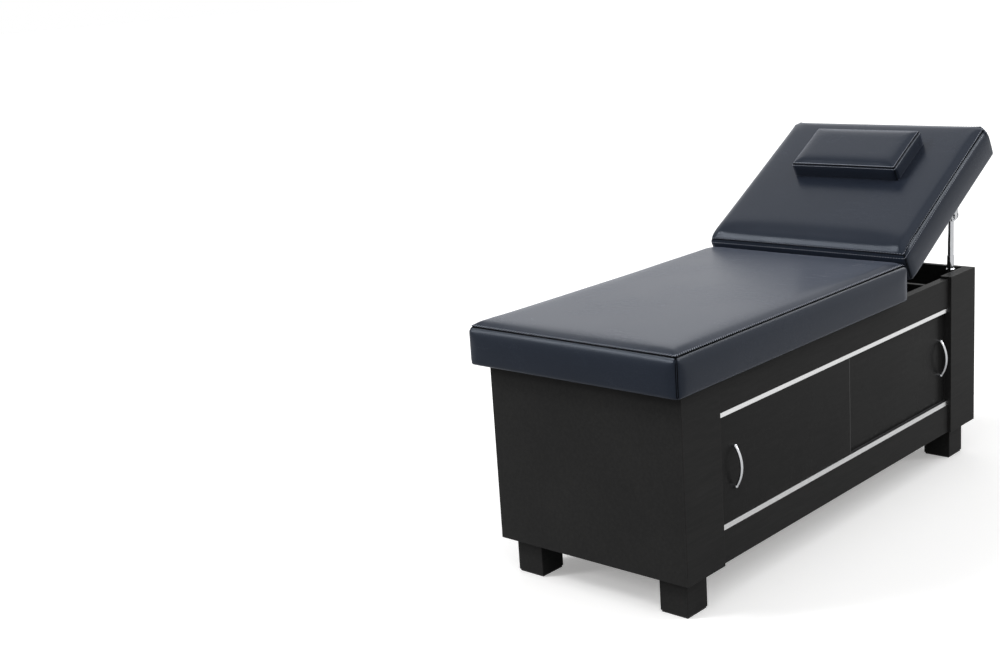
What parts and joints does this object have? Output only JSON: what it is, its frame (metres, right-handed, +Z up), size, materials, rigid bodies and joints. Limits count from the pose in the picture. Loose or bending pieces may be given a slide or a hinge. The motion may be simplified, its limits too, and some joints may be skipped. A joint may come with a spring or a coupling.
{
  "type": "spa bed with cabinet base",
  "caption": "Padded spa bed on a black cabinet with sliding doors, bow handles and block legs; its hinged backrest carries a pillow and rests on telescopic stays.",
  "frame": {"origin": "on the floor under the middle of the bed's bounding box at rest, with the backrest raised as in the picture", "axes": "+X along the bed from the foot end to the head end, -Y out of the sliding doors, +Z up"},
  "size_m": [1.7608, 0.7, 1.0753],
  "materials": {
    "board_black": "satin",
    "leatherette": "satin",
    "track_aluminium": "satin",
    "bright_chrome": "polished",
    "dark_steel": "satin",
    "zinc_steel": "satin",
    "black_plastic": "matte"
  },
  "bodies": {
    "cabinet": {"foot_end_panel": "board_black", "head_end_panel": "board_black", "near_foot_post": "board_black", "near_head_post": "board_black", "far_foot_post": "board_black", "far_head_post": "board_black", "front_top_rail": "board_black", "front_bottom_rail": "board_black", "back_panel": "board_black", "floor_board": "board_black", "compartment_divider": "board_black", "middle_bearer": "board_black", "hinge_bearer": "board_black", "near_foot_leg": "board_black", "near_head_leg": "board_black", "far_foot_leg": "board_black", "far_head_leg": "board_black", "leg_glides": "black_plastic", "leg_screws": "zinc_steel", "upper_door_track": "track_aluminium", "lower_door_track": "track_aluminium", "mattress_board": "board_black", "mattress_cushion": "leatherette", "near_hinge_bracket": "dark_steel", "far_hinge_bracket": "dark_steel", "hinge_bracket_screws": "zinc_steel", "near_hinge_pin": "zinc_steel", "far_hinge_pin": "zinc_steel", "near_stay_tube": "dark_steel", "far_stay_tube": "dark_steel", "stay_foot_screws": "zinc_steel"},
    "backrest": {"backrest_board": "board_black", "backrest_cushion": "leatherette", "pillow": "leatherette", "near_backrest_arm": "dark_steel", "far_backrest_arm": "dark_steel", "backrest_arm_screws": "zinc_steel", "near_stay_bracket": "bright_chrome", "far_stay_bracket": "bright_chrome", "stay_bracket_screws": "zinc_steel"},
    "foot_side_door": {"foot_side_door": "board_black", "foot_side_handle": "bright_chrome", "foot_side_handle_screws": "zinc_steel"},
    "head_side_door": {"head_side_door": "board_black", "head_side_handle": "bright_chrome", "head_side_handle_screws": "zinc_steel"},
    "near_sleeve": {"near_stay_sleeve": "bright_chrome"},
    "far_sleeve": {"far_stay_sleeve": "bright_chrome"},
    "near_rod": {"near_stay_rod": "bright_chrome", "near_stay_pin": "bright_chrome"},
    "far_rod": {"far_stay_rod": "bright_chrome", "far_stay_pin": "bright_chrome"}
  },
  "joints": [
    {"name": "backrest_tilt", "type": "hinge", "parent": "cabinet", "child": "backrest", "pos_m": [0.20964, 0, 0.686], "axis": [0, -1, 0], "range_deg": [-29, 6]},
    {"name": "foot_side_door_slide", "type": "slide", "parent": "cabinet", "child": "foot_side_door", "axis": [1, 0, 0], "range_m": [0, 0.285]},
    {"name": "head_side_door_slide", "type": "slide", "parent": "cabinet", "child": "head_side_door", "axis": [1, 0, 0], "range_m": [-0.285, 0]},
    {"name": "near_sleeve_slide", "type": "slide", "parent": "cabinet", "child": "near_sleeve", "axis": [0, 0, 1], "range_m": [-0.172, 0.0357]},
    {"name": "near_rod_slide", "type": "slide", "parent": "near_sleeve", "child": "near_rod", "axis": [0, 0, 1], "range_m": [-0.1128, 0.0235]},
    {"name": "far_sleeve_slide", "type": "slide", "parent": "cabinet", "child": "far_sleeve", "axis": [0, 0, 1], "range_m": [-0.172, 0.0357]},
    {"name": "far_rod_slide", "type": "slide", "parent": "far_sleeve", "child": "far_rod", "axis": [0, 0, 1], "range_m": [-0.1128, 0.0235]}
  ],
  "couplings": [
    {"joint": "near_sleeve_slide", "follows": "backrest_tilt", "m_per_rad": 0.33945},
    {"joint": "near_rod_slide", "follows": "backrest_tilt", "m_per_rad": 0.22255},
    {"joint": "far_sleeve_slide", "follows": "backrest_tilt", "m_per_rad": 0.33945},
    {"joint": "far_rod_slide", "follows": "backrest_tilt", "m_per_rad": 0.22255}
  ]
}
